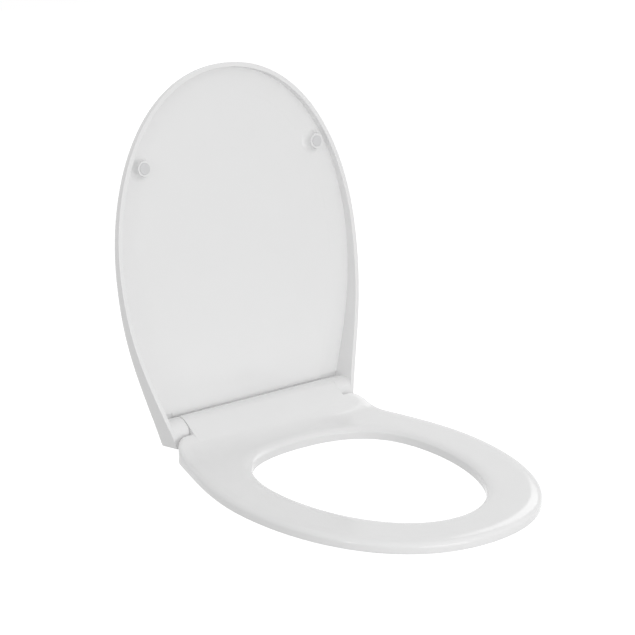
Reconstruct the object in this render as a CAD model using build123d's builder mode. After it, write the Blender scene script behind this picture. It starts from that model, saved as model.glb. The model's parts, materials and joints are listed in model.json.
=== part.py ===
from build123d import *
from math import cos, radians, sin, tan
import os

os.makedirs("parts", exist_ok=True)

# Sizes are in millimetres. The origin lies on the top of the pan, midway between its two
# fixing holes. +X points right as seen from the front, +Y to the wall behind and +Z up.

# Hinge line and pan fixing
FIXING_SPACING = 155.0
AXIS_Z = 30.0
LID_ANGLE = 98.5
SHAFT_R = 4.0
RUNNING_FIT = 0.05
SIDE_GAP = 0.6

# Seat ring
SEAT_HALF_WIDTH = 180.0
SEAT_REACH = 442.0
SEAT_WIDEST = 205.0
SEAT_BOTTOM = 9.0
RING_THICKNESS = 14.0
SEAT_REAR_EDGE = 24.0
SEAT_CORNER_R = 22.0
SEAT_CORNER_TURN = 74.0
SEAT_EDGE_R = 10.0
SEAT_FOOT_R = 1.5
RING_SIDE = 60.0
RING_FRONT = 60.0
RING_REAR = 32.0
CROWN_WIDTH = 14.0
CROWN_DROP = 4.5
CROWN_R = 60.0
HOLE_LIP_R = 1.2

# Hub at the back of the seat, between the lid's knuckles
HUB_R = 22.6
HUB_SHOULDER = 63.5
HUB_SLOPE = 31.8
HUB_BLEND_R = 60.0
HUB_CUT_Z = 16.0
HUB_SHELL = 5.0
HUB_BUSH_R = 8.0

# Hinge posts on the pan
POST_WIDTH = 30.0
POST_BOSS_R = 16.0
POST_NECK = 20.0
POST_CLEARANCE = 1.2
BASE_R = 24.0
BASE_THICKNESS = 3.0
GASKET_THICKNESS = 2.0
INSERT_R = 7.0
INSERT_LENGTH = 10.0
THREAD_R = 4.0
DAMPER_R = 11.0
DAMPER_LENGTH = 27.0
DAMPER_WALL = 2.0
DAMPER_CAP = 4.0
DRUM_GAP = 0.4
KNUCKLE_GRIP = 18.0

# Lid
LID_OVERHANG = 0.6
LID_NOSE = 1.8
RIM_WIDTH = 5.6
RIM_GAP = 2.0
LID_SKIN = 4.2
LID_BACK_R = 10.0
RIM_EDGE_R = 0.8
KNUCKLE_R = 22.2
KNUCKLE_FRONT = 21.0
EAR_DROP = 11.4
EAR_WIDTH = 20.9
EAR_CHAMFER = 4.0
LIP_GAP = 0.8
KNUCKLE_BUSH_R = 6.5
RIM_TURN = 240.0
LEDGE = 31.5
LEDGE_DROP = 1.2
FLOOR_TIP_N = -5.2
LID_RISE = 2.7

# Buffers
LID_BUFFER_SIDE = 50.1
LID_BUFFER_NOSE = 112.8
BOSS_R = 9.4
BOSS_FLARE_R = 9.0
BOSS_FLARE_TURN = 75.0
LID_BUFFER_R = 7.2
BUFFER_SEAT = 6.0
BUFFER_GAP = 0.4
FOOT_LENGTH = 34.0
FOOT_WIDTH = 13.0
FOOT_STEM_R = 4.0
FOOT_STEM = 6.0
FOOT_FRONT = (82.0, 70.0)
FOOT_BACK = (58.0, 117.0)
FOOT_TURN = {"front": 38.0, "back": -75.0}

# Sizes that follow from those above
RING_TOP = SEAT_BOTTOM + RING_THICKNESS
HOLE_HALF_WIDTH = SEAT_HALF_WIDTH - RING_SIDE
HOLE_FRONT = SEAT_REACH - RING_FRONT
HOLE_WIDEST = SEAT_WIDEST + 2
HUB_HALF = SEAT_HALF_WIDTH - HUB_SHOULDER
SEAT_REAR_HALF = HUB_HALF + 8.5
LID_HALF_WIDTH = SEAT_HALF_WIDTH + LID_OVERHANG
LID_REACH = SEAT_REACH + LID_NOSE
LID_WIDEST = SEAT_WIDEST - 1
EAR_HALF = HUB_HALF + EAR_WIDTH
LID_BUFFER_X = LID_HALF_WIDTH - LID_BUFFER_SIDE
LID_BUFFER_REACH = LID_REACH - LID_BUFFER_NOSE
FEET = {
    "front": (SEAT_HALF_WIDTH - FOOT_FRONT[0], FOOT_FRONT[1] - SEAT_REACH),
    "back": (SEAT_HALF_WIDTH - FOOT_BACK[0], FOOT_BACK[1] - SEAT_WIDEST),
}
slope = radians(HUB_SLOPE)
tangent_y = -HUB_R * sin(slope)
tangent_z = AXIS_Z + HUB_R * cos(slope)
foot_y = tangent_y - (tangent_z - RING_TOP) / tan(slope)
HOLE_REAR = RING_REAR - foot_y
hub_plane = Plane(origin=(0, 0, AXIS_Z), x_dir=(0, 1, 0), z_dir=(1, 0, 0))

# Seat: one moulding, ring and hub together
with BuildPart() as seat_ring:
    with BuildSketch(Plane.XY.offset(SEAT_BOTTOM)):
        with BuildLine():
            rear = Line((0, -SEAT_REAR_EDGE), (SEAT_REAR_HALF, -SEAT_REAR_EDGE))
            corner = JernArc(rear @ 1, (1, 0), SEAT_CORNER_R, -SEAT_CORNER_TURN)
            flank_run = SEAT_WIDEST + (corner @ 1).Y
            flank = Bezier(
                corner @ 1,
                corner @ 1 + 0.327 * flank_run * (corner % 1),
                (SEAT_HALF_WIDTH, -SEAT_WIDEST + 0.35 * flank_run),
                (SEAT_HALF_WIDTH, -SEAT_WIDEST),
            )
            bow_run = SEAT_REACH - SEAT_WIDEST
            Bezier(
                flank @ 1,
                (SEAT_HALF_WIDTH, -SEAT_WIDEST - 0.495 * bow_run),
                (0.7 * SEAT_HALF_WIDTH, -SEAT_REACH),
                (0, -SEAT_REACH),
            )
            mirror(about=Plane.YZ)
        make_face()
    extrude(amount=AXIS_Z + HUB_R)
    with BuildSketch(Plane.YZ) as side:
        with BuildLine():
            Polyline(
                (-SEAT_REACH - 5, SEAT_BOTTOM),
                (-SEAT_REACH - 5, RING_TOP),
                (foot_y, RING_TOP),
                (tangent_y, tangent_z),
                (tangent_y, SEAT_BOTTOM),
                close=True,
            )
        make_face()
        fillet(side.vertices().group_by(Axis.Y)[1].sort_by(Axis.X)[-1], HUB_BLEND_R)
    extrude(amount=SEAT_HALF_WIDTH + 5, both=True, mode=Mode.INTERSECT)
    upper = edges().filter_by_position(Axis.Z, RING_TOP - 0.5, AXIS_Z + HUB_R)
    across = upper.filter_by(Axis.X).filter_by_position(Axis.Y, -SEAT_REACH, -SEAT_REAR_EDGE - 1)
    fillet(upper - across - upper.filter_by(Axis.Z), SEAT_EDGE_R)
    lower = edges().group_by(Axis.Z)[0]
    fillet(lower, SEAT_FOOT_R)
    # Opening of the ring, with its crowned edge
    with BuildSketch(Plane.XY.offset(SEAT_BOTTOM)):
        with BuildLine():
            stern_run = HOLE_WIDEST - HOLE_REAR
            aft = Bezier(
                (0, -HOLE_REAR),
                (0.756 * HOLE_HALF_WIDTH, -HOLE_REAR),
                (HOLE_HALF_WIDTH, -HOLE_WIDEST + 0.644 * stern_run),
                (HOLE_HALF_WIDTH, -HOLE_WIDEST),
            )
            bow_run = HOLE_FRONT - HOLE_WIDEST
            Bezier(
                aft @ 1,
                (HOLE_HALF_WIDTH, -HOLE_WIDEST - 0.459 * bow_run),
                (0.658 * HOLE_HALF_WIDTH, -HOLE_FRONT),
                (0, -HOLE_FRONT),
            )
            mirror(about=Plane.YZ)
        make_face()
    extrude(amount=AXIS_Z + HUB_R, mode=Mode.SUBTRACT)
    top = faces().filter_by(Axis.Z).group_by(Axis.Z)[-1].sort_by(SortBy.AREA)[-1]
    lip = top.inner_wires()[0].edges()
    chamfer(lip, length=CROWN_WIDTH, length2=CROWN_DROP, reference=top)
    lip_z = RING_TOP - CROWN_DROP
    lip = edges().filter_by_position(Axis.Z, lip_z - 0.05, lip_z + 0.05)
    fillet(lip, HOLE_LIP_R)
    top = faces().filter_by(Axis.Z).group_by(Axis.Z)[-1].sort_by(SortBy.AREA)[-1]
    fillet(top.inner_wires()[0].edges(), CROWN_R)
    # Hub: a round back, joined to the ring by the flat slope
    join_y = -SEAT_REAR_EDGE - 1.6 * SEAT_EDGE_R
    join_z = tangent_z + (join_y - tangent_y) * tan(slope) - AXIS_Z
    cut_z = HUB_CUT_Z - AXIS_Z
    with BuildSketch(hub_plane):
        Circle(HUB_R)
        with BuildLine():
            Polyline(
                (0, 0),
                (tangent_y, tangent_z - AXIS_Z),
                (join_y, join_z),
                (join_y, cut_z),
                (0, cut_z),
                close=True,
            )
        make_face()
        with Locations((0, cut_z)):
            Rectangle(4 * HUB_R, HUB_R, align=(Align.CENTER, Align.MAX), mode=Mode.SUBTRACT)
    extrude(amount=HUB_HALF, both=True)
    # Hollow of the hub between the posts, and the bore along the hinge line
    slot_half = POST_WIDTH / 2 + POST_CLEARANCE
    with BuildSketch(hub_plane):
        Circle(HUB_R - HUB_SHELL)
    extrude(amount=FIXING_SPACING / 2 - slot_half - HUB_SHELL, both=True, mode=Mode.SUBTRACT)
    with BuildSketch(hub_plane):
        Circle(HUB_BUSH_R)
    extrude(amount=HUB_HALF, both=True, mode=Mode.SUBTRACT)
    # Slots that let the hub swing about the posts
    for side in (-1, 1):
        with BuildSketch(hub_plane.offset(side * FIXING_SPACING / 2)):
            Circle(POST_BOSS_R + POST_CLEARANCE)
            neck = POST_NECK / 2 + POST_CLEARANCE
            with Locations((-neck, 0)):
                Rectangle(HUB_R + 2 * neck, 2 * HUB_R, align=(Align.MIN, Align.MAX))
            with Locations((0, neck + 3)):
                Rectangle(2 * HUB_R, 2 * HUB_R, align=(Align.MIN, Align.MAX))
        extrude(amount=slot_half, both=True, mode=Mode.SUBTRACT)
    # Sockets for the stems of the seat's feet
    with BuildSketch(Plane.XY.offset(SEAT_BOTTOM)):
        for x, y in FEET.values():
            with Locations((x, y), (-x, y)):
                Circle(FOOT_STEM_R)
    extrude(amount=FOOT_STEM, mode=Mode.SUBTRACT)
seat_ring.part.label = "seat_ring"
export_step(seat_ring.part, "parts/seat_ring.step")

# Lid frame: x across, s from the hinge line to the tip, n out of the lid's inner face
tilt = radians(LID_ANGLE)
lid_plane = Plane(origin=(0, 0, AXIS_Z), x_dir=(1, 0, 0), z_dir=(0, -sin(tilt), -cos(tilt)))
lid_side = Plane(origin=(0, 0, AXIS_Z), x_dir=(0, -cos(tilt), sin(tilt)), z_dir=(1, 0, 0))
RIM_N = AXIS_Z - RING_TOP - RIM_GAP
knuckle_inner = HUB_HALF + SIDE_GAP
lid_end = LID_REACH + 5


def lid_point(v):
    """Point v in the lid's own frame."""
    return lid_plane.to_local_coords(v)


def lip_n(s):
    """Height of the lip beside the seat's slope, when the lid is shut."""
    return -(tangent_z - AXIS_Z + (-s - tangent_y) * tan(slope) + LIP_GAP / cos(slope))


def lid_curve(start, end_n):
    """Side view of the panel: one long curve from the hinge end to past the tip."""
    reach = lid_end - start[0]
    Bezier(
        start,
        (start[0] + 0.34 * reach, start[1] + 0.34 * reach * tan(radians(LID_RISE))),
        (lid_end - 0.36 * reach, end_n),
        (lid_end, end_n),
    )


def lid_edge(inset):
    """Outline of the lid, drawn in by the inset all round."""
    half = LID_HALF_WIDTH - inset
    ear = EAR_HALF - inset
    flank_run = LID_WIDEST + EAR_DROP
    bow_run = LID_REACH - LID_WIDEST - inset
    foot = Line((0, -EAR_DROP), (ear, -EAR_DROP))
    flank = Bezier(
        foot @ 1,
        (ear + 0.112 * flank_run, -EAR_DROP + 0.396 * flank_run),
        (half, LID_WIDEST - 0.41 * flank_run),
        (half, LID_WIDEST),
    )
    Bezier(
        flank @ 1,
        (half, LID_WIDEST + 0.497 * bow_run),
        (0.664 * half, LID_WIDEST + bow_run),
        (0, LID_WIDEST + bow_run),
    )
    mirror(about=Plane.YZ)


lip_s = 0.95 * HUB_R
floor_start = (lip_s, lip_n(lip_s))
back_s = EAR_CHAMFER - EAR_DROP
back_start = (back_s, lip_n(lip_s) - LID_SKIN - (lip_s - back_s) * tan(radians(LID_RISE)))


# Outside of the lid, before it is hollowed
with BuildPart() as lid_blank:
    with BuildSketch(lid_plane):
        with BuildLine():
            lid_edge(0)
        make_face()
    extrude(amount=2 * HUB_R, both=True)
    with BuildSketch(lid_side):
        with BuildLine():
            rim = Line((lid_end, RIM_N), (RIM_TURN, RIM_N))
            turn = Bezier(
                rim @ 1,
                (0.62 * RIM_TURN, RIM_N),
                (0.25 * RIM_TURN, KNUCKLE_R - 0.6 * (KNUCKLE_R - RIM_N)),
                (KNUCKLE_R - KNUCKLE_FRONT, KNUCKLE_FRONT),
            )
            Polyline(
                turn @ 1,
                (-EAR_DROP, KNUCKLE_FRONT),
                (-EAR_DROP, back_start[1] + EAR_CHAMFER),
                back_start,
            )
            lid_curve(back_start, FLOOR_TIP_N - LID_SKIN)
            Line((lid_end, FLOOR_TIP_N - LID_SKIN), rim @ 0)
        make_face()
    extrude(amount=LID_HALF_WIDTH + 5, both=True, mode=Mode.INTERSECT)
    sides = edges().filter_by(lambda e: abs(e.center().X) > 1).filter_by(Axis.X, reverse=True)
    behind = sides.filter_by(lambda e: lid_point(e.center()).Z < FLOOR_TIP_N)
    fillet(behind.filter_by(lambda e: lid_point(e.center()).Y > back_start[0]), LID_BACK_R)

# Hollow of the lid: it clears the seat's hub and leaves the knuckles standing
ledge_n = lip_n(lip_s) - LEDGE_DROP
with BuildPart() as lid_hollow:
    with BuildSketch(lid_plane) as hollow_outline:
        with BuildLine():
            lid_edge(RIM_WIDTH)
        make_face()
        Rectangle(2 * (EAR_HALF - RIM_WIDTH), 3 * EAR_DROP)
    extrude(amount=3 * HUB_R, both=True)
    with BuildSketch(lid_side):
        with BuildLine():
            lid_curve(floor_start, FLOOR_TIP_N)
            Polyline(
                (lid_end, FLOOR_TIP_N),
                (lid_end, 2 * HUB_R),
                (-2 * HUB_R, 2 * HUB_R),
                (-2 * HUB_R, lip_n(-2 * HUB_R)),
                floor_start,
            )
        make_face()
    extrude(amount=LID_HALF_WIDTH + 5, both=True, mode=Mode.INTERSECT)
    with BuildSketch(lid_plane.offset(ledge_n)):
        add(hollow_outline.sketch_local)
        Rectangle(4 * EAR_HALF, 2 * LEDGE, mode=Mode.INTERSECT)
        Rectangle(2 * knuckle_inner, 2 * LEDGE, mode=Mode.SUBTRACT)
    extrude(amount=-ledge_n)
    for side in (-1, 1):
        with BuildSketch(lid_side.offset(side * knuckle_inner)):
            with Locations((LEDGE, ledge_n)):
                Rectangle(4 * HUB_R, 4 * HUB_R, align=Align.MAX)
            Circle(KNUCKLE_R)
        extrude(amount=side * EAR_HALF, mode=Mode.SUBTRACT)

# Lid: one moulding with its rim, knuckles and buffer bosses
with BuildPart() as lid:
    add(lid_blank.part)
    add(lid_hollow.part, mode=Mode.SUBTRACT)
    with BuildSketch(hub_plane):
        Circle(HUB_R + 1)
    extrude(amount=knuckle_inner, both=True, mode=Mode.SUBTRACT)
    rim = edges().filter_by(GeomType.BSPLINE).filter_by(lambda e: lid_point(e.center()).Z > RIM_N / 2)
    fillet(rim.filter_by(lambda e: e.length > LID_WIDEST), RIM_EDGE_R)
    # Bosses that hold the lid's buffers
    boss_top = AXIS_Z - RING_TOP - BUFFER_GAP - 1.2
    boss_root = FLOOR_TIP_N - LID_SKIN / 2
    flare_n = FLOOR_TIP_N + BOSS_FLARE_R * sin(radians(BOSS_FLARE_TURN)) - 0.6
    for side in (-1, 1):
        with BuildSketch(lid_side.offset(side * LID_BUFFER_X)):
            with BuildLine():
                crown = Line((LID_BUFFER_REACH, boss_top), (LID_BUFFER_REACH + BOSS_R, boss_top))
                wall = Line(crown @ 1, (LID_BUFFER_REACH + BOSS_R, flare_n))
                flare = JernArc(wall @ 1, (0, -1), BOSS_FLARE_R, BOSS_FLARE_TURN)
                Polyline(flare @ 1, ((flare @ 1).X, boss_root), (LID_BUFFER_REACH, boss_root), crown @ 0)
            make_face()
        boss_foot = lid_plane.from_local_coords((side * LID_BUFFER_X, LID_BUFFER_REACH, 0))
        revolve(axis=Axis(boss_foot, lid_plane.z_dir))
    with BuildSketch(lid_plane.offset(boss_top)):
        with Locations((-LID_BUFFER_X, LID_BUFFER_REACH), (LID_BUFFER_X, LID_BUFFER_REACH)):
            Circle(LID_BUFFER_R)
    extrude(amount=-BUFFER_SEAT, mode=Mode.SUBTRACT)
    # Bores for the hinge: the right shaft is pressed in, the left one turns in a bush
    with BuildSketch(hub_plane.offset(knuckle_inner)):
        Circle(SHAFT_R)
    extrude(amount=KNUCKLE_GRIP, mode=Mode.SUBTRACT)
    with BuildSketch(hub_plane.offset(-knuckle_inner)):
        Circle(KNUCKLE_BUSH_R)
    extrude(amount=-KNUCKLE_GRIP, mode=Mode.SUBTRACT)
lid.part.label = "lid"
export_step(lid.part, "parts/lid.step")

# Lid buffers
for name, side in (("left", -1), ("right", 1)):
    with BuildPart() as lid_buffer:
        with BuildSketch(lid_plane.offset(boss_top - BUFFER_SEAT)):
            with Locations((side * LID_BUFFER_X, LID_BUFFER_REACH)):
                Circle(LID_BUFFER_R)
        extrude(amount=BUFFER_SEAT + 1.2)
        fillet(edges().sort_by(lambda e: lid_point(e.center()).Z)[-1], 0.9)
    lid_buffer.part.label = f"lid_buffer_{name}"
    export_step(lid_buffer.part, f"parts/lid_buffer_{name}.step")

# Feet under the seat, two at the front and two at the back
for end, (x, y) in FEET.items():
    for name, side in (("left", -1), ("right", 1)):
        with BuildPart() as seat_foot:
            with BuildSketch():
                with Locations((side * x, y)):
                    SlotOverall(FOOT_LENGTH, FOOT_WIDTH, rotation=side * FOOT_TURN[end])
            extrude(amount=SEAT_BOTTOM)
            fillet(edges().group_by(Axis.Z)[0], 1.2)
            with BuildSketch(Plane.XY.offset(SEAT_BOTTOM)):
                with Locations((side * x, y)):
                    Circle(FOOT_STEM_R)
            extrude(amount=FOOT_STEM)
        seat_foot.part.label = f"seat_foot_{end}_{name}"
        export_step(seat_foot.part, f"parts/seat_foot_{end}_{name}.step")

# Hinge pieces, the same on both sides
post_inner = FIXING_SPACING / 2 - POST_WIDTH / 2
post_outer = FIXING_SPACING / 2 + POST_WIDTH / 2
base_top = GASKET_THICKNESS + BASE_THICKNESS
damper_start = post_outer - DAMPER_LENGTH
cap_start = post_outer - DAMPER_CAP
shaft_end = knuckle_inner + KNUCKLE_GRIP
for name, side in (("left", -1), ("right", 1)):
    fixing = (side * FIXING_SPACING / 2, 0)
    with BuildPart() as base_gasket:
        with BuildSketch():
            with Locations(fixing):
                Circle(BASE_R)
                Circle(THREAD_R, mode=Mode.SUBTRACT)
        extrude(amount=GASKET_THICKNESS)
    base_gasket.part.label = f"base_gasket_{name}"
    export_step(base_gasket.part, f"parts/base_gasket_{name}.step")

    with BuildPart() as base_plate:
        with BuildSketch(Plane.XY.offset(GASKET_THICKNESS)):
            with Locations(fixing):
                Circle(BASE_R)
                Circle(THREAD_R, mode=Mode.SUBTRACT)
        extrude(amount=BASE_THICKNESS)
        fillet(edges().group_by(Axis.Z)[-1].sort_by(SortBy.LENGTH)[-1], BASE_THICKNESS / 2)
    base_plate.part.label = f"base_plate_{name}"
    export_step(base_plate.part, f"parts/base_plate_{name}.step")

    with BuildPart() as hinge_post:
        with BuildSketch(Plane.XY.offset(base_top)):
            with Locations(fixing):
                RectangleRounded(POST_WIDTH, POST_NECK, 3)
        extrude(amount=AXIS_Z - base_top)
        with BuildSketch(hub_plane.offset(side * post_inner)):
            Circle(POST_BOSS_R)
        extrude(amount=side * POST_WIDTH)
        with BuildSketch(Plane.XY.offset(base_top)):
            with Locations(fixing):
                Circle(INSERT_R)
        extrude(amount=INSERT_LENGTH, mode=Mode.SUBTRACT)
        with BuildSketch(hub_plane.offset(side * damper_start)):
            Circle(DAMPER_R)
        extrude(amount=side * DAMPER_LENGTH, mode=Mode.SUBTRACT)
    hinge_post.part.label = f"hinge_post_{name}"
    export_step(hinge_post.part, f"parts/hinge_post_{name}.step")

    with BuildPart() as thread_insert:
        with BuildSketch(Plane.XY.offset(base_top)):
            with Locations(fixing):
                Circle(INSERT_R)
                Circle(THREAD_R, mode=Mode.SUBTRACT)
        extrude(amount=INSERT_LENGTH)
    thread_insert.part.label = f"thread_insert_{name}"
    export_step(thread_insert.part, f"parts/thread_insert_{name}.step")

    with BuildPart() as damper_housing:
        with BuildSketch(hub_plane.offset(side * damper_start)):
            Circle(DAMPER_R)
        extrude(amount=side * (DAMPER_LENGTH - DAMPER_CAP))
        with BuildSketch(hub_plane.offset(side * (damper_start + DAMPER_WALL))):
            Circle(DAMPER_R - DAMPER_WALL)
        extrude(amount=side * DAMPER_LENGTH, mode=Mode.SUBTRACT)
    damper_housing.part.label = f"damper_housing_{name}"
    export_step(damper_housing.part, f"parts/damper_housing_{name}.step")

    with BuildPart() as damper_cap:
        with BuildSketch(hub_plane.offset(side * cap_start)):
            Circle(DAMPER_R)
            Circle(SHAFT_R + RUNNING_FIT, mode=Mode.SUBTRACT)
        extrude(amount=side * DAMPER_CAP)
    damper_cap.part.label = f"damper_cap_{name}"
    export_step(damper_cap.part, f"parts/damper_cap_{name}.step")

    # Shaft with the damper's drum: the left one turns with the seat, the right one with the lid
    with BuildPart() as hinge_shaft:
        with BuildSketch(hub_plane.offset(side * (damper_start + DAMPER_WALL + DRUM_GAP))):
            Circle(DAMPER_R - DAMPER_WALL - DRUM_GAP)
        extrude(amount=side * (DAMPER_LENGTH - DAMPER_CAP - DAMPER_WALL - 2 * DRUM_GAP))
        with BuildSketch(hub_plane.offset(side * (cap_start - 2 * DRUM_GAP))):
            Circle(SHAFT_R)
        extrude(amount=side * (shaft_end - cap_start + 2 * DRUM_GAP))
    hinge_shaft.part.label = f"hinge_shaft_{name}"
    export_step(hinge_shaft.part, f"parts/hinge_shaft_{name}.step")

    # Bush in the hub's end wall: keyed to the left shaft, a running fit on the right one
    hub_wall = post_outer + POST_CLEARANCE
    with BuildPart() as hub_bush:
        with BuildSketch(hub_plane.offset(side * hub_wall)):
            Circle(HUB_BUSH_R)
            Circle(SHAFT_R if side < 0 else SHAFT_R + RUNNING_FIT, mode=Mode.SUBTRACT)
        extrude(amount=side * (HUB_HALF - hub_wall))
    hub_bush.part.label = f"hub_bush_{name}"
    export_step(hub_bush.part, f"parts/hub_bush_{name}.step")

# Bush of the lid's left knuckle, which turns on the seat's shaft
with BuildPart() as knuckle_bush:
    with BuildSketch(hub_plane.offset(-knuckle_inner)):
        Circle(KNUCKLE_BUSH_R)
        Circle(SHAFT_R + RUNNING_FIT, mode=Mode.SUBTRACT)
    extrude(amount=-KNUCKLE_GRIP)
knuckle_bush.part.label = "knuckle_bush_left"
export_step(knuckle_bush.part, "parts/knuckle_bush_left.step")
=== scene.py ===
"""Toilet seat with a raised lid, dressed over its CAD frame and lit as a studio product shot.

Lengths are in millimetres, or in metres where a name ends in _m. +X is to the right seen from the front, +Y to
the wall behind and +Z up from the pan. The lid has a frame of its own: s runs from the hinge line to the tip,
and n out of the face that lies on the seat when the lid is shut.
"""

import json
import logging
import math
from dataclasses import dataclass
from enum import Enum
from typing import Any

import bmesh
import bpy
from mathutils import Matrix, Vector


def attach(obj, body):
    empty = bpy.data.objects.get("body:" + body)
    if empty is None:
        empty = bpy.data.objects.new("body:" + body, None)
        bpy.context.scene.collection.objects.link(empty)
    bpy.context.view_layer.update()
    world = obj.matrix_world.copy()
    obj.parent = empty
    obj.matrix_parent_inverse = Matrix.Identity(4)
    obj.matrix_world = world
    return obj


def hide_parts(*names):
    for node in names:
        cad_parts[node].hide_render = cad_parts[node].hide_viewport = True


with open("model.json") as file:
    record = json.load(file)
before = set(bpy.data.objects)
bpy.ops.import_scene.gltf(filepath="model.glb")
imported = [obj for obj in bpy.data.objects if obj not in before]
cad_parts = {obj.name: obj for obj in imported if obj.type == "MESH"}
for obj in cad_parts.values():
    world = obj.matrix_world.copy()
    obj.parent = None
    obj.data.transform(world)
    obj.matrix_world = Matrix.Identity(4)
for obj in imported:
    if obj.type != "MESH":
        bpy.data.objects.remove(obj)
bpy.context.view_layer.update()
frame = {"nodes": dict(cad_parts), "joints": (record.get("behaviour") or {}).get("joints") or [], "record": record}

Flat = Vector | tuple[float, float]
Spot = tuple[float, float, float]
Face = tuple[int, ...]

MM_PER_M = 1000
LID_HINGE = next(joint for joint in frame["joints"] if joint["name"] == "lid_hinge")
HINGE_Z = LID_HINGE["pos_m"][2] * MM_PER_M
RAISED_DEG = -LID_HINGE["range_deg"][0]
PADS = ("lid_buffer", "seat_foot")

# Mix's sockets by number, because its names repeat from one data type to the next.
MIX_FACTOR, MIX_A, MIX_B, MIX_RESULT = 0, 6, 7, 2
# Most of a noise texture's values lie between these two.
NOISE_LOW, NOISE_HIGH = 0.3, 0.7
# A quarter round of radius 1: distance in from the wall and down from the face.
QUARTER_ROUND = ((0.0, 1.0), (0.08, 0.62), (0.3, 0.3), (0.62, 0.08), (1.0, 0.0))
# The middle of a quarter round of radius 1 lies this far from both faces.
ROUND_MIDDLE = 0.3
# Where a wide flat is split, as shares of its width.
QUARTERS = (0.25, 0.5, 0.75)

log = logging.getLogger("toilet_seat")


def linear(hex_colour: str) -> tuple[float, float, float, float]:
    """Turn an sRGB hex colour into linear RGBA.

    Args:
        hex_colour: six hex digits after a hash.

    Returns:
        Red, green, blue and alpha, each from 0 to 1.
    """
    parts = [int(hex_colour[i:i + 2], 16) / 255 for i in (1, 3, 5)]
    rgb = [p / 12.92 if p <= 0.04045 else ((p + 0.055) / 1.055) ** 2.4 for p in parts]
    return (rgb[0], rgb[1], rgb[2], 1.0)


def add_node(tree: bpy.types.NodeTree, kind: str, settings: dict[str, Any] | None = None,
             inputs: dict[str | int, Any] | None = None) -> bpy.types.Node:
    """Add one node, set its properties and give its inputs a value or a link.

    Args:
        tree: node tree that takes the node.
        kind: Blender's name for the node type.
        settings: property values, by property name.
        inputs: value or output socket for each input, by socket name or number.

    Returns:
        The new node.
    """
    node = tree.nodes.new(kind)
    for name, value in (settings or {}).items():
        setattr(node, name, value)
    for name, value in (inputs or {}).items():
        if isinstance(value, bpy.types.NodeSocket):
            tree.links.new(value, node.inputs[name])
        else:
            node.inputs[name].default_value = value
    return node


def per_mm(size_mm: float) -> float:
    """Scale of a noise texture whose features are about this many millimetres wide."""
    return MM_PER_M / size_mm


@dataclass(frozen=True)
class Finish:
    """One surface finish: a base colour, how rough it is and the marks its making left.

    Attributes:
        name: the real material and how its surface was made.
        colour: main colour, sRGB hex.
        shade: colour of the faint patches, sRGB hex.
        roughness: middle roughness.
        spread: how far the grain moves the roughness either way.
        patch_mm: size of the patches.
        grain_mm: size of the grain.
        grain_depth_mm: depth of the grain.
        ior: index of refraction, for what isn't a metal.
        metallic: 1 for a metal.
        brushed: scale of the grain along each axis, small along scratches.
    """

    name: str
    colour: str
    shade: str
    roughness: float
    spread: float
    patch_mm: float
    grain_mm: float
    grain_depth_mm: float
    ior: float = 1.5
    metallic: float = 0.0
    brushed: Spot = (1.0, 1.0, 1.0)

    def build(self) -> bpy.types.Material:
        """Make the material.

        Returns:
            A node material on Object coordinates.
        """
        material = bpy.data.materials.new(self.name)
        material.use_nodes = True
        tree = material.node_tree
        tree.nodes.clear()
        place = add_node(tree, "ShaderNodeTexCoord").outputs["Object"]
        stretch = add_node(tree, "ShaderNodeMapping", inputs={"Vector": place, "Scale": self.brushed})
        patches = add_node(tree, "ShaderNodeTexNoise", inputs={
            "Vector": place, "Scale": per_mm(self.patch_mm), "Detail": 3.0, "Roughness": 0.5})
        grain = add_node(tree, "ShaderNodeTexNoise", inputs={
            "Vector": stretch.outputs["Vector"], "Scale": per_mm(self.grain_mm), "Detail": 2.0})
        colour = add_node(tree, "ShaderNodeMix", {"data_type": "RGBA"}, {
            MIX_FACTOR: patches.outputs["Fac"], MIX_A: linear(self.shade), MIX_B: linear(self.colour)})
        rough = add_node(tree, "ShaderNodeMapRange", inputs={
            "Value": grain.outputs["Fac"], "From Min": NOISE_LOW, "From Max": NOISE_HIGH,
            "To Min": self.roughness - self.spread, "To Max": self.roughness + self.spread})
        bump = add_node(tree, "ShaderNodeBump", inputs={
            "Height": grain.outputs["Fac"], "Strength": 1.0, "Distance": self.grain_depth_mm / MM_PER_M})
        surface = add_node(tree, "ShaderNodeBsdfPrincipled", inputs={
            "Base Color": colour.outputs[MIX_RESULT], "Roughness": rough.outputs["Result"],
            "Normal": bump.outputs["Normal"], "Metallic": self.metallic})
        if not self.metallic:
            surface.inputs["IOR"].default_value = self.ior
        add_node(tree, "ShaderNodeOutputMaterial", inputs={"Surface": surface.outputs["BSDF"]})
        return material


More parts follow.
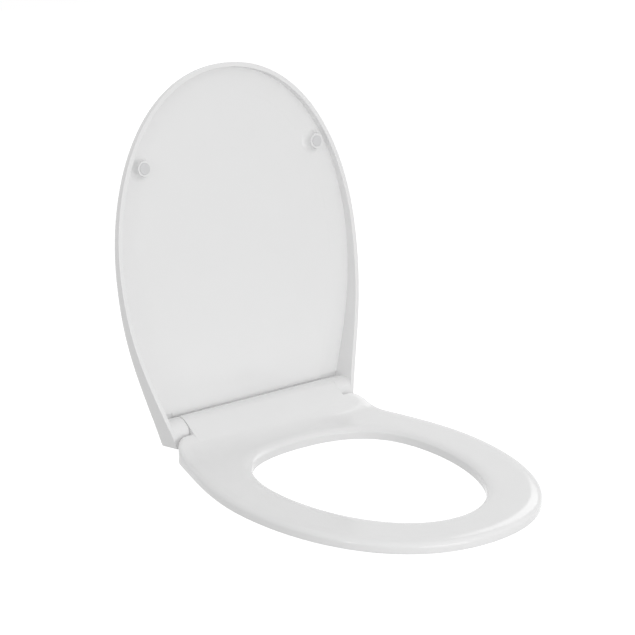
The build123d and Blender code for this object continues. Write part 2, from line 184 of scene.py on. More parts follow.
class Finishes(Enum):
    """The finishes of this seat, each by the record's material slot.

    Matt grain, scratches and turning lines are finer than the render can show, so they are drawn coarser than
    life.
    """

    # Urea resin pressed in a polished mould: a deep even gloss with a faint orange peel.
    moulded_white = Finish("urea_resin_polished_mould", "#EFEFEF", "#EDEDED", 0.15, 0.015, 60, 5, 0.0012,
                           ior=1.52)
    # Thermoplastic elastomer from a matt mould: no sharp reflection, slightly chalky.
    buffer_grey = Finish("elastomer_matt_mould", "#DCDCDD", "#D4D4D5", 0.55, 0.06, 6, 0.6, 0.01)
    # The same elastomer in white, a little dulled where it meets the pan.
    foot_white = Finish("elastomer_white_matt_mould", "#DADADA", "#CFCFCE", 0.6, 0.06, 8, 0.6, 0.01)
    # Glass-filled polyamide: satin, with the mould's fine spark grain.
    post_white = Finish("polyamide_spark_grain", "#D8D8D7", "#CECECD", 0.45, 0.08, 12, 0.8, 0.02, ior=1.53)
    # Stainless steel brushed along the hinge line: long fine scratches.
    steel = Finish("stainless_steel_brushed", "#C9CBCC", "#B9BBBD", 0.3, 0.08, 15, 0.5, 0.003,
                   metallic=1.0, brushed=(0.04, 1.0, 1.0))
    # Sheet rubber: dark, dull and slightly mottled.
    gasket_grey = Finish("sheet_rubber", "#48484A", "#3C3C3E", 0.75, 0.08, 5, 0.5, 0.02, ior=1.52)
    # Brass off the lathe: fine turning lines.
    brass = Finish("brass_turned", "#D9BE83", "#C9AC6E", 0.28, 0.06, 6, 0.4, 0.003,
                   metallic=1.0, brushed=(1.0, 1.0, 6.0))
    # Dark grey acetal: waxy and smooth.
    damper_grey = Finish("acetal_dark", "#57585A", "#4E4F51", 0.38, 0.05, 10, 0.8, 0.006, ior=1.48)
    # Natural acetal: off-white and waxy.
    bush_natural = Finish("acetal_natural", "#EAE8E1", "#E2E0D8", 0.4, 0.05, 10, 0.8, 0.006, ior=1.48)


class Paint:
    """Keeps one material for each finish and puts them on objects."""

    def __init__(self) -> None:
        """Make every material once, and look up each node's slot and body."""
        record = frame["record"]
        self.materials = {f.name: f.value.build() for f in Finishes}
        self.slot_of = {s["node"]: s["material_slot"] for s in record["subparts"]}
        self.body_of = {n: body for body, nodes in record["behaviour"]["bodies"].items() for n in nodes}

    def dress(self, obj: bpy.types.Object, slot: str) -> None:
        """Give an object the finish of a slot."""
        obj.data.materials.clear()
        obj.data.materials.append(self.materials[slot])

    def stand_for(self, obj: bpy.types.Object, node: str) -> None:
        """Dress a piece as a CAD node, hang it on that node's body and let it stand for it.

        Args:
            obj: the piece.
            node: the CAD node it shows.
        """
        self.dress(obj, self.slot_of[node])
        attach(obj, self.body_of[node])
        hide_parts(node)
        log.info("%s: %d faces", obj.name, len(obj.data.polygons))


def cubic(p0: Flat, p1: Flat, p2: Flat, p3: Flat, count: int) -> list[Vector]:
    """Walk along one Bezier curve.

    Args:
        p0: first point.
        p1: handle of the first point.
        p2: handle of the last point.
        p3: last point.
        count: number of steps.

    Returns:
        One point more than the steps, ends included.
    """
    a, b, c, d = (Vector(p) for p in (p0, p1, p2, p3))
    steps = [i / count for i in range(count + 1)]
    return [(1 - t) ** 3 * a + 3 * t * (1 - t) ** 2 * b + 3 * t * t * (1 - t) * c + t ** 3 * d for t in steps]


def even(line: list[Vector], count: int) -> list[Vector]:
    """Space points evenly along a line.

    Args:
        line: the points of the line.
        count: number of points wanted, ends included.

    Returns:
        The new points.
    """
    far = [0.0]
    for a, b in zip(line, line[1:]):
        far.append(far[-1] + (b - a).length)
    out, k = [], 0
    for i in range(count):
        want = far[-1] * i / (count - 1)
        while k < len(line) - 2 and far[k + 1] < want:
            k += 1
        span = far[k + 1] - far[k]
        out.append(line[k].lerp(line[k + 1], (want - far[k]) / span if span else 0.0))
    return out


def both_sides(half: list[Vector]) -> list[Vector]:
    """Close a half outline, rear to front, with its mirror image."""
    return half + [Vector((-p.x, p.y)) for p in reversed(half[1:-1])]


def sideways(loop: list[Vector]) -> list[Vector]:
    """Find the normals of a closed loop.

    Args:
        loop: the points of the loop, clockwise seen from above.

    Returns:
        One unit vector for each point, pointing out of the loop.
    """
    ends = zip(loop[-1:] + loop[:-1], loop[1:] + loop[:1])
    runs = [(b - a).normalized() for a, b in ends]
    return [Vector((-r.y, r.x)) for r in runs]


def at_run(curve: list[Vector], run: float) -> float:
    """Height of a side-view curve at a place along it.

    Args:
        curve: points with a growing first coordinate.
        run: the place.

    Returns:
        The second coordinate there.
    """
    for a, b in zip(curve, curve[1:]):
        if run <= b.x:
            return a.y + (b.y - a.y) * (run - a.x) / (b.x - a.x)
    return curve[-1].y


def quads(rows: list[list[Vector]], round_rows: bool, round_points: bool) -> tuple[list[Vector], list[Face]]:
    """Join rows of points by four-sided faces.

    Args:
        rows: rows with one number of points each.
        round_rows: join the last row to the first.
        round_points: join the last point of each row to its first.

    Returns:
        Points and faces of the mesh.
    """
    wide = len(rows[0])
    points = [p for row in rows for p in row]
    faces = []
    for r in range(len(rows) if round_rows else len(rows) - 1):
        a, b = r * wide, (r + 1) % len(rows) * wide
        for i in range(wide if round_points else wide - 1):
            j = (i + 1) % wide
            faces.append((a + i, a + j, b + j, b + i))
    return points, faces


def crisp(shape: bmesh.types.BMesh, sharp_deg: float) -> None:
    """Shade every face smooth and keep some edges sharp.

    Args:
        shape: the mesh.
        sharp_deg: edges that turn more than this stay sharp, and so do open ones.
    """
    for face in shape.faces:
        face.smooth = True
    for edge in shape.edges:
        edge.smooth = len(edge.link_faces) == 2 and edge.calc_face_angle(0.0) < math.radians(sharp_deg)


def linked(shape: bmesh.types.BMesh, name: str) -> bpy.types.Object:
    """Turn a finished shape into an object of the scene, and free the shape.

    Args:
        shape: the mesh, in metres.
        name: name of the object.

    Returns:
        The object. Its normals are weighed by area, so that flats stay flat beside their rounded edges.
    """
    mesh = bpy.data.meshes.new(name)
    shape.to_mesh(mesh)
    shape.free()
    piece = bpy.data.objects.new(name, mesh)
    bpy.context.scene.collection.objects.link(piece)
    weigh = piece.modifiers.new("even_normals", "WEIGHTED_NORMAL")
    weigh.keep_sharp = True
    return piece


def add_piece(name: str, points: list[Vector], faces: list[Face], sharp_deg: float) -> bpy.types.Object:
    """Make a smooth mesh object from points in millimetres.

    Args:
        name: name of the object.
        points: the points.
        faces: the faces, by point number.
        sharp_deg: edges that turn more than this stay sharp.

    Returns:
        The linked object, with its faces turned outwards.
    """
    shape = bmesh.new()
    verts = [shape.verts.new(p / MM_PER_M) for p in points]
    for face in faces:
        shape.faces.new([verts[i] for i in face])
    bmesh.ops.remove_doubles(shape, verts=shape.verts, dist=1e-6)
    bmesh.ops.recalc_face_normals(shape, faces=shape.faces)
    crisp(shape, sharp_deg)
    return linked(shape, name)


def welded(node: str) -> bmesh.types.BMesh:
    """A copy of a CAD node's mesh with its loose triangles joined."""
    shell = bmesh.new()
    shell.from_mesh(frame["nodes"][node].data)
    bmesh.ops.remove_doubles(shell, verts=shell.verts, dist=1e-5)
    return shell


@dataclass(frozen=True)
class RingPlan:
    """The ring seen from above: two closed outlines whose points lie across from each other."""

    hole: list[Vector]
    outer: list[Vector]

    def from_hole(self, far: float) -> list[Vector]:
        """The opening's outline, moved out by a distance."""
        return [p + out * far for p, out in zip(self.hole, sideways(self.hole))]

    def from_edge(self, far: float) -> list[Vector]:
        """The outer outline, moved in by a distance."""
        return [p - out * far for p, out in zip(self.outer, sideways(self.outer))]

    def between(self, hole_far: float, edge_far: float, share: float) -> list[Vector]:
        """Find a line part of the way across the ring.

        Args:
            hole_far: distance from the opening at which the way starts.
            edge_far: distance from the outer edge at which it ends.
            share: how much of the way to go.

        Returns:
            The points of the line.
        """
        return [a.lerp(b, share) for a, b in zip(self.from_hole(hole_far), self.from_edge(edge_far))]


@dataclass
class SeatRing:
    """The ring: rounded outside, crowned towards its opening, with a slope that climbs to the hub."""

    # Outer outline. Leads and trails are handles: shares of a curve's run, or bow_trail of the half width.
    half_width: float = 180.0
    reach: float = 442.0
    widest: float = 205.0
    rear_edge: float = 24.0
    rear_half: float = 125.0
    corner_r: float = 22.0
    corner_turn_deg: float = 74.0
    flank_lead: float = 0.327
    flank_trail: float = 0.35
    bow_lead: float = 0.495
    bow_trail: float = 0.7
    # Opening, with its handles: hole_aft_lead and hole_bow_trail are shares of its half width.
    hole_half: float = 120.0
    hole_rear: float = 86.18
    hole_widest: float = 207.0
    hole_front: float = 382.0
    hole_aft_lead: float = 0.756
    hole_aft_trail: float = 0.644
    hole_bow_lead: float = 0.459
    hole_bow_trail: float = 0.658
    # Section: a wall round the opening, the crown, a flat, a gentle dome, a tight turn and a flat underside.
    bottom: float = 9.0
    thickness: float = 14.0
    hole_foot_r: float = 0.4
    lip_r: float = 1.0
    # A point of the lip's round: out from the wall, and down from the foot of the crown.
    lip_middle: tuple[float, float] = (0.1, 0.55)
    crown_width: float = 20.0
    crown_drop: float = 4.5
    crown_power: float = 3.6
    # Distances from the opening at which the crown is drawn, closer where it bends most.
    crown_stations: tuple[float, ...] = (0.4, 0.9, 1.6, 2.5, 3.5, 4.5, 5.7, 7.0, 8.5, 10.5, 13.0, 16.0)
    dome_width: float = 10.0
    dome_drop: float = 0.9
    edge_width: float = 7.5
    edge_drop: float = 6.0
    foot_r: float = 1.5
    # Slope up to the hub, and the hair's breadth by which the ring draws back where the hub's faces cover it.
    hub_r: float = 22.6
    hub_half: float = 116.5
    slope_deg: float = 31.8
    blend_r: float = 60.0
    cover_y: float = -46.0
    cover_run: float = 6.0
    cover_gap: float = 0.06
    # How finely the mesh is drawn.
    around: int = 150
    rear_steps: int = 20
    corner_steps: int = 16
    flank_steps: int = 60
    curve_steps: int = 90
    dome_steps: int = 5
    edge_steps: int = 10
    sharp_deg: float = 40.0

    def outer(self) -> list[Vector]:
        """Draw the outside: a straight rear, a round corner, a flank and a bow.

        Returns:
            Points of the right half, from the rear's middle to the front's.
        """
        turn = math.radians(self.corner_turn_deg)
        pivot = Vector((self.rear_half, -self.rear_edge - self.corner_r))
        angles = [turn * i / self.corner_steps for i in range(self.corner_steps + 1)]
        corner = [pivot + self.corner_r * Vector((math.sin(a), math.cos(a))) for a in angles]
        end, side = corner[-1], (self.half_width, -self.widest)
        run = self.widest + end.y
        lead = end + self.flank_lead * run * Vector((math.cos(turn), -math.sin(turn)))
        trail = (self.half_width, -self.widest + self.flank_trail * run)
        flank = cubic(end, lead, trail, side, self.flank_steps)
        run = self.reach - self.widest
        lead = (self.half_width, -self.widest - self.bow_lead * run)
        trail = (self.bow_trail * self.half_width, -self.reach)
        bow = cubic(side, lead, trail, (0.0, -self.reach), self.curve_steps)
        count = self.rear_steps
        rear = [Vector((self.rear_half * i / count, -self.rear_edge)) for i in range(count)]
        return even(rear + corner[:-1] + flank[:-1] + bow, self.around)

    def hole(self) -> list[Vector]:
        """Draw the opening, as two curves that meet where it is widest.

        Returns:
            Points of the right half, from its rear to its front.
        """
        side = (self.hole_half, -self.hole_widest)
        run = self.hole_widest - self.hole_rear
        lead = (self.hole_aft_lead * self.hole_half, -self.hole_rear)
        trail = (self.hole_half, -self.hole_widest + self.hole_aft_trail * run)
        aft = cubic((0.0, -self.hole_rear), lead, trail, side, self.curve_steps)
        run = self.hole_front - self.hole_widest
        lead = (self.hole_half, -self.hole_widest - self.hole_bow_lead * run)
        trail = (self.hole_bow_trail * self.hole_half, -self.hole_front)
        bow = cubic(side, lead, trail, (0.0, -self.hole_front), self.curve_steps)
        return even(aft[:-1] + bow, self.around)

    def top(self, p: Vector) -> float:
        """Height of the upper face: flat, then a soft bend, then the slope.

        Args:
            p: place in plan.

        Returns:
            Height above the pan.
        """
        slope = math.radians(self.slope_deg)
        flat_z = self.bottom + self.thickness
        rise_y = -self.hub_r * math.sin(slope)
        rise_z = HINGE_Z + self.hub_r * math.cos(slope)
        foot = rise_y - (rise_z - flat_z) / math.tan(slope)
        bend = self.blend_r * math.tan(slope / 2)
        if p.y <= foot - bend:
            return flat_z
        if p.y <= foot + bend * math.cos(slope):
            return flat_z + self.blend_r - math.sqrt(self.blend_r ** 2 - (p.y - foot + bend) ** 2)
        return rise_z + (p.y - rise_y) * math.tan(slope) - self.inside_hub(p)

    def inside_hub(self, p: Vector) -> float:
        """Find how far the ring's faces draw back behind the hub's own.

        Args:
            p: place in plan.

        Returns:
            The distance, which grows from nothing over a short run.
        """
        if abs(p.x) >= self.hub_half:
            return 0.0
        return min(max((p.y - self.cover_y) / self.cover_run, 0.0), 1.0) * self.cover_gap

    def under_top(self, line: list[Vector], drop: float) -> list[Vector]:
        """Points along a line in plan, a drop below the upper face."""
        return [Vector((p.x, p.y, self.top(p) - drop)) for p in line]

    def level(self, line: list[Vector], z: float) -> list[Vector]:
        """Points along a line in plan, at one height."""
        return [Vector((p.x, p.y, z + self.inside_hub(p))) for p in line]

    def inner_rows(self, plan: RingPlan) -> list[list[Vector]]:
        """Draw the wall round the opening and the crown above it.

        Args:
            plan: the ring's outlines.

        Returns:
            Rows of points, from the underside up to the flat.
        """
        lip = self.bottom + self.thickness - self.crown_drop
        lip_in, lip_down = self.lip_middle
        rows = [self.level(plan.from_hole(self.hole_foot_r), self.bottom),
                self.level(plan.from_hole(0.0), self.bottom + self.hole_foot_r),
                self.level(plan.from_hole(0.0), lip - self.lip_r),
                self.under_top(plan.from_hole(lip_in), self.crown_drop + lip_down)]
        for far in self.crown_stations + (self.crown_width,):
            drop = self.crown_drop * (1 - far / self.crown_width) ** self.crown_power
            rows.append(self.under_top(plan.from_hole(far), drop))
        return rows

    def outer_rows(self, plan: RingPlan) -> list[list[Vector]]:
        """Draw the flat, the dome and the turn at the outer edge.

        Args:
            plan: the ring's outlines.

        Returns:
            Rows of points, from the crown to the foot of the turn.
        """
        # The turn is part of an ellipse, and starts at the angle at which the dome ends.
        start = math.atan(2 * self.dome_drop / self.dome_width * self.edge_width / self.edge_drop)
        turn = self.edge_width * (1 - math.sin(start))
        flat = [plan.between(self.crown_width, turn + self.dome_width, f) for f in QUARTERS]
        rows = [self.under_top(line, 0.0) for line in flat]
        for i in range(self.dome_steps):
            f = i / self.dome_steps
            line = plan.from_edge(turn + self.dome_width * (1 - f))
            rows.append(self.under_top(line, self.dome_drop * f * f))
        for i in range(self.edge_steps + 1):
            a = start + (math.pi / 2 - start) * i / self.edge_steps
            drop = self.dome_drop + self.edge_drop * (math.cos(start) - math.cos(a))
            rows.append(self.under_top(plan.from_edge(self.edge_width * (1 - math.sin(a))), drop))
        return rows

    def lower_rows(self, plan: RingPlan) -> list[list[Vector]]:
        """Draw the outer wall's foot and the underside.

        Args:
            plan: the ring's outlines.

        Returns:
            Rows of points, from the outer wall in to the opening.
        """
        middle = ROUND_MIDDLE * self.foot_r
        rows = [self.level(plan.from_edge(0.0), self.bottom + self.foot_r),
                self.level(plan.from_edge(middle), self.bottom + middle),
                self.level(plan.from_edge(self.foot_r), self.bottom)]
        for f in reversed(QUARTERS):
            rows.append(self.level(plan.between(self.hole_foot_r, self.foot_r, f), self.bottom))
        return rows

    def build(self) -> bpy.types.Object:
        """Make the ring as one closed skin.

        Returns:
            The ring's mesh object.
        """
        plan = RingPlan(both_sides(self.hole()), both_sides(self.outer()))
        rows = self.inner_rows(plan) + self.outer_rows(plan) + self.lower_rows(plan)
        points, faces = quads(rows, True, True)
        return add_piece("seat_ring_skin", points, faces, self.sharp_deg)


@dataclass
class HubShell:
    """The hub, cut from the seat's CAD node where it stands clear of the ring."""

    node: str = "seat_ring"
    front_y: float = -39.9
    half: float = 116.52
    sharp_deg: float = 32.0

    def build(self) -> bpy.types.Object:
        """Cut the hub out of a copy of the node.

        Returns:
            The hub's mesh object.
        """
        shell = welded(self.node)
        cuts = (((0, self.front_y, 0), (0, -1, 0)),
                ((self.half, 0, 0), (1, 0, 0)),
                ((-self.half, 0, 0), (-1, 0, 0)))
        for place, outward in cuts:
            everything = shell.verts[:] + shell.edges[:] + shell.faces[:]
            bmesh.ops.bisect_plane(shell, geom=everything, plane_co=Vector(place) / MM_PER_M,
                                   plane_no=outward, clear_outer=True)
        crisp(shell, self.sharp_deg)
        return linked(shell, "seat_hub")


@dataclass(frozen=True)
class SideView:
    """The lid seen from the side: curves of points (s, n) from the hinge end to past the tip."""

    floor: list[Vector]
    back: list[Vector]
    rim: list[Vector]


@dataclass
class LidEdge:
    """The lid's outer wall, rim and inner wall, with a strip of its panel and of its back."""

    # Outline, with its handles: shares of a curve's run, and bow_trail of the half width.
    half_width: float = 180.6
    reach: float = 443.8
    widest: float = 204.0
    ear_half: float = 137.4
    ear_drop: float = 11.4
    flank_lead: tuple[float, float] = (0.112, 0.396)
    flank_trail: float = 0.41
    bow_lead: float = 0.497
    bow_trail: float = 0.664
    # Side view of the rim: it falls from the knuckle's flat front to its level at the tip.
    rim_n: float = 5.0
    rim_turn: float = 240.0
    rim_lead: float = 0.25
    rim_fall: float = 0.6
    rim_trail: float = 0.62
    knuckle_r: float = 22.2
    knuckle_front: float = 21.0
    # Side view of the panel and the back: both leave the hinge end at one angle and level out at the tip.
    lip: tuple[float, float] = (21.47, -14.22)
    rise_deg: float = 2.7
    skin: float = 4.2
    tip_n: float = -5.2
    back_s: float = -7.4
    sweep_lead: float = 0.34
    sweep_trail: float = 0.36
    past_tip: float = 5.0
    # Section across the edge. The tube closes a little inside the lid's own skin.
    rim_width: float = 5.8
    edge_r: float = 0.8
    foot_r: float = 0.8
    back_r: float = 10.0
    back_step_deg: int = 15
    strip: float = 29.0
    inside: float = 1.5
    # The edge starts this far from the hinge line: the CAD node shows the ears below it.
    start_s: float = 24.5
    # How finely the mesh is drawn.
    steps: int = 110
    side_steps: int = 200
    sharp_deg: float = 40.0

    def outline(self, inset: float) -> list[Vector]:
        """Draw the lid's outline, or a line that follows it further in.

        Args:
            inset: how far the line is drawn in.

        Returns:
            Points (x, s) of the right half, from the ear to the tip.
        """
        half, ear = self.half_width - inset, self.ear_half - inset
        side = (half, self.widest)
        run = self.widest + self.ear_drop
        out, along = self.flank_lead
        lead = (ear + out * run, -self.ear_drop + along * run)
        trail = (half, self.widest - self.flank_trail * run)
        flank = cubic((ear, -self.ear_drop), lead, trail, side, self.steps)
        run = self.reach - self.widest - inset
        lead = (half, self.widest + self.bow_lead * run)
        trail = (self.bow_trail * half, self.widest + run)
        bow = cubic(side, lead, trail, (0.0, self.widest + run), self.steps)
        return flank[:-1] + bow

    def sweep(self, start: Flat, end_n: float) -> list[Vector]:
        """Draw the side view of the panel or of the back.

        Args:
            start: its point (s, n) at the hinge end.
            end_n: its level at the tip.

        Returns:
            Points (s, n) from the hinge end to past the tip.
        """
        end = self.reach + self.past_tip
        reach = end - start[0]
        run = self.sweep_lead * reach
        lead = (start[0] + run, start[1] + run * math.tan(math.radians(self.rise_deg)))
        return cubic(start, lead, (end - self.sweep_trail * reach, end_n), (end, end_n), self.side_steps)

    def rim(self) -> list[Vector]:
        """Draw the side view of the rim.

        Returns:
            Points (s, n) from the ear to past the tip.
        """
        start = (self.knuckle_r - self.knuckle_front, self.knuckle_front)
        lead = (self.rim_lead * self.rim_turn, self.knuckle_r - self.rim_fall * (self.knuckle_r - self.rim_n))
        trail = (self.rim_trail * self.rim_turn, self.rim_n)
        turn = cubic(start, lead, trail, (self.rim_turn, self.rim_n), self.side_steps)
        return turn + [Vector((self.reach + self.past_tip, self.rim_n))]

    def side_view(self) -> SideView:
        """Draw the lid from the side.

        Returns:
            The panel's, the back's and the rim's curves.
        """
        rise = math.tan(math.radians(self.rise_deg))
        back_n = self.lip[1] - self.skin - (self.lip[0] - self.back_s) * rise
        back = self.sweep((self.back_s, back_n), self.tip_n - self.skin)
        return SideView(self.sweep(self.lip, self.tip_n), back, self.rim())

    def section(self, edge: Vector, inner: Vector, deep: Vector, view: SideView) -> list[Vector]:
        """Draw one section across the edge, from the back round the rim to the panel.

        Args:
            edge: point (x, s) of the lid's outline.
            inner: the point of the inner wall across from it.
            deep: the point where the strip of panel ends.
            view: the lid from the side.

        Returns:
            Points (x, s, n) of the closed section.
        """
        inward = (inner - edge).normalized()
        row: list[tuple[Vector, float]] = []
        for deg in range(90, -1, -self.back_step_deg):
            a = math.radians(deg)
            p = edge + inward * self.back_r * (1 - math.cos(a))
            row.append((p, at_run(view.back, p.y) + self.back_r * (1 - math.sin(a))))
        high = at_run(view.rim, edge.y)
        for across, down in QUARTER_ROUND:
            row.append((edge + inward * self.edge_r * across, high - self.edge_r * down))
        high = at_run(view.rim, inner.y)
        for across, down in reversed(QUARTER_ROUND):
            row.append((inner - inward * self.edge_r * across, high - self.edge_r * down))
        low = at_run(view.floor, inner.y)
        middle = ROUND_MIDDLE * self.foot_r
        row += [(inner, low + self.foot_r),
                (inner + inward * middle, low + middle),
                (inner + inward * self.foot_r, low),
                (deep, at_run(view.floor, deep.y)),
                (deep, at_run(view.floor, deep.y) - self.inside),
                (edge + inward * self.back_r, at_run(view.back, edge.y) + self.inside)]
        return [Vector((p.x, p.y, n)) for p, n in row]

    def placed(self, x: float, s: float, n: float) -> Vector:
        """Find where a point of the lid's own frame is when the lid stands raised.

        Args:
            x: distance to the right.
            s: distance from the hinge line towards the tip.
            n: distance out of the face that lies on the seat.

        Returns:
            The point in the seat's frame.
        """
        a = math.radians(RAISED_DEG)
        y = -s * math.cos(a) - n * math.sin(a)
        return Vector((x, y, HINGE_Z + s * math.sin(a) - n * math.cos(a)))

    def build(self) -> bpy.types.Object:
        """Make the edge as one closed tube that follows the outline.

        Returns:
            The edge's mesh object.
        """
        view = self.side_view()
        lines = [self.outline(inset) for inset in (0.0, self.rim_width, self.rim_width + self.strip)]
        rows = [self.section(*points, view) for points in zip(*lines) if points[0].y > self.start_s]
        rows += [[Vector((-v.x, v.y, v.z)) for v in row] for row in reversed(rows[:-1])]
        wide = len(rows[0])
        points, faces = quads(rows, False, True)
        faces += [tuple(range(wide)), tuple(range(len(points) - wide, len(points)))]
        return add_piece("lid_edge", [self.placed(*p) for p in points], faces, self.sharp_deg)


@dataclass
class SmoothShell:
    """A CAD node carried over as a welded mesh with smooth faces and crisp edges.

    Attributes:
        node: the CAD node.
        sink_mm: how far its faces draw back, to stay behind another piece's.
        round_mm: how far its sharp edges are rounded.
        sharp_deg: edges that turn more than this stay sharp.
        round_deg: edges that turn more than this are rounded.
        round_segments: faces across a rounded edge.
    """

    node: str
    sink_mm: float = 0.0
    round_mm: float = 0.0
    sharp_deg: float = 32.0
    round_deg: float = 50.0
    round_segments: int = 3

    def build(self) -> bpy.types.Object:
        """Make the mesh that stands for the node.

        Returns:
            The finished piece.
        """
        shell = welded(self.node)
        for vert in shell.verts:
            vert.co -= vert.normal * self.sink_mm / MM_PER_M
        crisp(shell, self.sharp_deg)
        piece = linked(shell, self.node + "_shell")
        if self.round_mm:
            soft = piece.modifiers.new("soft_edges", "BEVEL")
            soft.width = self.round_mm / MM_PER_M
            soft.segments = self.round_segments
            soft.use_clamp_overlap = False
            soft.limit_method = "ANGLE"
            soft.angle_limit = math.radians(self.round_deg)
            # Edges are rounded before the normals are weighed.
            piece.modifiers.move(1, 0)
        return piece


@dataclass
class HingeSet:
    """The hinge's posts, bases, shafts, bushes and dampers, shown as their CAD nodes."""

    replaced: tuple[str, ...] = ("seat_ring", "lid") + PADS

    def build(self, paint: Paint) -> list[bpy.types.Object]:
        """Dress every CAD node that no other piece stands for.

        Args:
            paint: the materials.

        Returns:
            The dressed nodes.
        """
        rest = [n for n in frame["nodes"] if not n.startswith(self.replaced)]
        for node in rest:
            paint.dress(frame["nodes"][node], paint.slot_of[node])
        return [frame["nodes"][n] for n in rest]


@dataclass(frozen=True)
class SoftBox:
    """One square lamp.

    Attributes:
        name: name of the lamp.
        at_m: where it hangs.
        aim_m: the point it faces.
        size_m: side of its face.
        power_w: its power.
    """

    name: str
    at_m: Spot
    aim_m: Spot
    size_m: float
    power_w: float

    def build(self) -> None:
        """Hang the lamp."""
        data = bpy.data.lights.new(self.name, "AREA")
        data.size = self.size_m
        data.energy = self.power_w
        lamp = bpy.data.objects.new(self.name, data)
        bpy.context.scene.collection.objects.link(lamp)
        lamp.location = self.at_m
        lamp.rotation_euler = (Vector(self.aim_m) - Vector(self.at_m)).to_track_quat("-Z", "Y").to_euler()


class Lamps(Enum):
    """The lamps of the product shot."""

    # Behind on the right: the glint on the crown and the streak along the front edge.
    key = SoftBox("key_softbox", (1.79, 0.6, 1.23), (0.0, -0.2, 0.05), 0.95, 4.0)
    # Wide and low in front: lifts the panel and the walls that face the camera.
    fill = SoftBox("fill_softbox", (-0.3, -3.0, 0.4), (0.0, -0.15, 0.2), 2.0, 25.5)
    # Far out on the left: lifts the outer walls of lid and ring.
    side = SoftBox("side_lamp", (-2.34, -0.82, 0.75), (0.0, -0.1, 0.2), 0.3, 2.0)


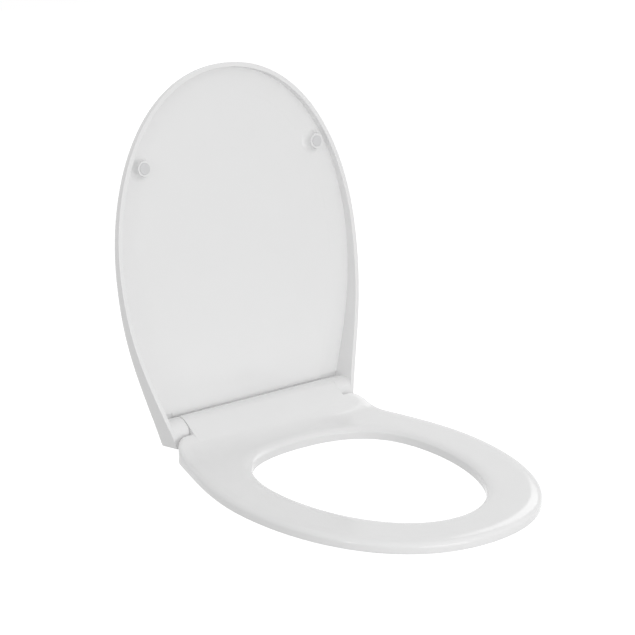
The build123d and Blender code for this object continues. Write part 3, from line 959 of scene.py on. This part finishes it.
@dataclass
class Studio:
    """Floor, light and camera of the product shot."""

    white: str = "#FFFFFF"
    floor_colour: str = "#C2C2C2"
    floor_lift: float = 0.68
    floor_drop_m: float = 0.40
    floor_half_m: float = 6.0
    dome_left: float = 0.71
    dome_right: float = 0.78
    camera_at_m: Spot = (-1.3443, -1.8332, 0.8645)
    azimuth_deg: float = -38.18
    elevation_deg: float = 17.27
    lens_mm: float = 108.17
    sensor_mm: float = 36.0

    def seen(self, tree: bpy.types.NodeTree) -> bpy.types.NodeSocket:
        """Light Path test for what the camera sees, straight or by reflection.

        Args:
            tree: node tree that takes the test.

        Returns:
            A value of 1 for camera, glossy and transmission rays.
        """
        path = add_node(tree, "ShaderNodeLightPath")
        either = add_node(tree, "ShaderNodeMath", {"operation": "MAXIMUM"}, {
            0: path.outputs["Is Camera Ray"], 1: path.outputs["Is Glossy Ray"]})
        return add_node(tree, "ShaderNodeMath", {"operation": "MAXIMUM"}, {
            0: either.outputs[0], 1: path.outputs["Is Transmission Ray"]}).outputs[0]

    def world(self) -> None:
        """White surroundings for the eye, and for the light a softer dome that is brighter on the right."""
        world = bpy.data.worlds.new("white_studio")
        world.use_nodes = True
        tree = world.node_tree
        tree.nodes.clear()
        towards = add_node(tree, "ShaderNodeTexCoord").outputs["Generated"]
        across = add_node(tree, "ShaderNodeSeparateXYZ", inputs={"Vector": towards}).outputs["X"]
        strength = add_node(tree, "ShaderNodeMapRange", inputs={
            "Value": across, "From Min": -1.0, "From Max": 1.0,
            "To Min": self.dome_left, "To Max": self.dome_right})
        light = add_node(tree, "ShaderNodeBackground", inputs={
            "Color": linear(self.white), "Strength": strength.outputs["Result"]})
        white = add_node(tree, "ShaderNodeBackground", inputs={"Color": linear(self.white), "Strength": 1.0})
        mix = add_node(tree, "ShaderNodeMixShader", inputs={
            0: self.seen(tree), 1: light.outputs[0], 2: white.outputs[0]})
        add_node(tree, "ShaderNodeOutputWorld", inputs={"Surface": mix.outputs[0]})
        bpy.context.scene.world = world

    def floor_material(self) -> bpy.types.Material:
        """Make the floor's material.

        Returns:
            Matt paint, which keeps the object's shadow, lifted to white for the camera alone.
        """
        material = bpy.data.materials.new("pale_studio_floor")
        material.use_nodes = True
        tree = material.node_tree
        tree.nodes.clear()
        matt = add_node(tree, "ShaderNodeBsdfDiffuse", inputs={"Color": linear(self.floor_colour)})
        lift = add_node(tree, "ShaderNodeMath", {"operation": "MULTIPLY"}, {
            0: self.seen(tree), 1: self.floor_lift})
        glow = add_node(tree, "ShaderNodeEmission", inputs={
            "Color": linear(self.white), "Strength": lift.outputs[0]})
        both = add_node(tree, "ShaderNodeAddShader", inputs={0: matt.outputs[0], 1: glow.outputs[0]})
        add_node(tree, "ShaderNodeOutputMaterial", inputs={"Surface": both.outputs[0]})
        return material

    def floor(self) -> None:
        """Lay the floor at the foot of a pan."""
        h, z = self.floor_half_m, -self.floor_drop_m
        mesh = bpy.data.meshes.new("floor")
        mesh.from_pydata([(-h, -h, z), (h, -h, z), (h, h, z), (-h, h, z)], [], [(0, 1, 2, 3)])
        mesh.materials.append(self.floor_material())
        floor = bpy.data.objects.new("floor", mesh)
        bpy.context.scene.collection.objects.link(floor)

    def camera(self) -> None:
        """Place the camera at the photograph's viewing angle and framing."""
        data = bpy.data.cameras.new("product_camera")
        data.sensor_width = self.sensor_mm
        data.lens = self.lens_mm
        camera = bpy.data.objects.new("product_camera", data)
        bpy.context.scene.collection.objects.link(camera)
        a, e = math.radians(self.azimuth_deg), math.radians(self.elevation_deg)
        back = Vector((math.sin(a) * math.cos(e), -math.cos(a) * math.cos(e), math.sin(e)))
        right = Vector((math.cos(a), math.sin(a), 0.0))
        up = back.cross(right)
        turn = Matrix((right, up, back)).transposed().to_4x4()
        camera.matrix_world = Matrix.Translation(self.camera_at_m) @ turn
        bpy.context.scene.camera = camera

    def build(self) -> None:
        """Set up everything that isn't the object."""
        bpy.context.scene.view_settings.view_transform = "Standard"
        self.world()
        self.floor()
        for lamp in Lamps:
            lamp.value.build()
        self.camera()


def main() -> None:
    """Build the studio and the pieces, and note the sizes."""
    logging.basicConfig(level=logging.INFO, format="%(message)s")
    Studio().build()
    paint = Paint()
    paint.stand_for(SeatRing().build(), "seat_ring")
    paint.stand_for(HubShell().build(), "seat_ring")
    paint.stand_for(LidEdge().build(), "lid")
    paint.stand_for(SmoothShell("lid", sink_mm=0.06).build(), "lid")
    for node in sorted(n for n in frame["nodes"] if n.startswith(PADS)):
        paint.stand_for(SmoothShell(node, round_mm=0.9).build(), node)
    for piece in HingeSet().build(paint):
        log.info("%s: CAD node", piece.name)


if __name__ == "__main__":
    main()
